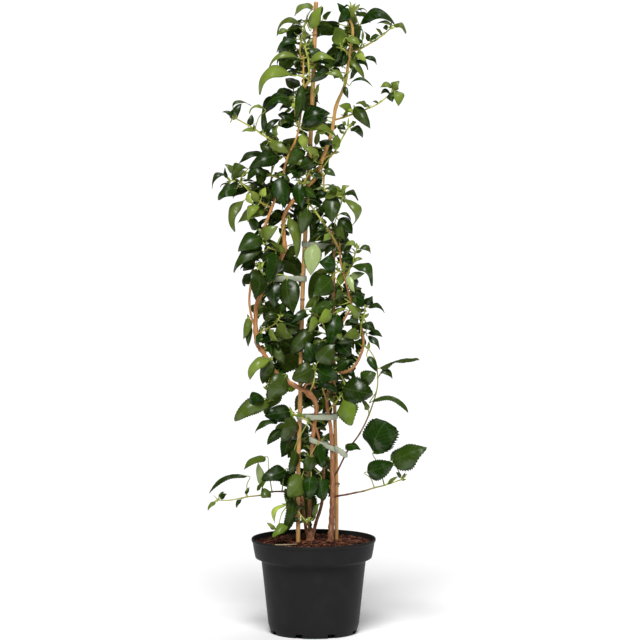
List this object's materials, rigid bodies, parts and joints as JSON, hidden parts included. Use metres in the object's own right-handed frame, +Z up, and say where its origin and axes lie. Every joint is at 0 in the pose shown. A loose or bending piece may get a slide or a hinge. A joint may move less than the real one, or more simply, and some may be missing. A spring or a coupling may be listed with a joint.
{
  "type": "potted climbing hydrangea",
  "caption": "Potted climbing plant for a wall or shelf: a black nursery pot of bark soil with two canes, soft ties, two woody stems and arching leafy shoots.",
  "frame": {"origin": "on the floor under the middle of the pot", "axes": "+Z up along the plant, -Y towards the camera of the picture"},
  "size_m": [0.2638, 0.15, 0.7618],
  "materials": {
    "pot": "injection-moulded anthracite plastic with a satin sheen",
    "soil": "loose dark red-brown coir and bark fibre",
    "bamboo": "dry bamboo cane, smooth with joints",
    "bark": "orange-brown bark that peels in thin strips",
    "strap": "soft grey-green plant tie",
    "foliage": "thick glossy leaves on yellow-green shoots"
  },
  "bodies": {
    "root": {"cane_left": "bamboo", "cane_right": "bamboo", "leaves_back_1": "foliage", "leaves_back_10": "foliage", "leaves_back_11": "foliage", "leaves_back_12": "foliage", "leaves_back_13": "foliage", "leaves_back_14": "foliage", "leaves_back_15": "foliage", "leaves_back_16": "foliage", "leaves_back_2": "foliage", "leaves_back_3": "foliage", "leaves_back_4": "foliage", "leaves_back_5": "foliage", "leaves_back_6": "foliage", "leaves_back_7": "foliage", "leaves_back_8": "foliage", "leaves_back_9": "foliage", "leaves_centre_dark": "foliage", "leaves_centre_green": "foliage", "leaves_centre_low": "foliage", "leaves_centre_pale": "foliage", "leaves_centre_upper": "foliage", "leaves_crown_right": "foliage", "leaves_far_left": "foliage", "leaves_foot_sprigs": "foliage", "leaves_high_arches": "foliage", "leaves_high_middle": "foliage", "leaves_left_arm": "foliage", "leaves_left_big": "foliage", "leaves_left_dome": "foliage", "leaves_left_fringe": "foliage", "leaves_left_low_arches": "foliage", "leaves_left_low_dark": "foliage", "leaves_left_low_knot": "foliage", "leaves_left_lower_bunch": "foliage", "leaves_low_centre": "foliage", "leaves_right_arm": "foliage", "leaves_right_branch": "foliage", "leaves_right_loop_tip": "foliage", "leaves_right_low": "foliage", "leaves_right_middle": "foliage", "leaves_right_sprig": "foliage", "leaves_runner_left": "foliage", "leaves_runner_right": "foliage", "leaves_thin_right": "foliage", "leaves_tip_right": "foliage", "leaves_top_green": "foliage", "leaves_top_left": "foliage", "leaves_twig_left": "foliage", "pot": "pot", "soil": "soil", "stem_left": "bark", "stem_right": "bark", "tie_high": "strap", "tie_low": "strap", "tie_low_slanted": "strap", "tie_middle": "strap"}
  },
  "joints": []
}
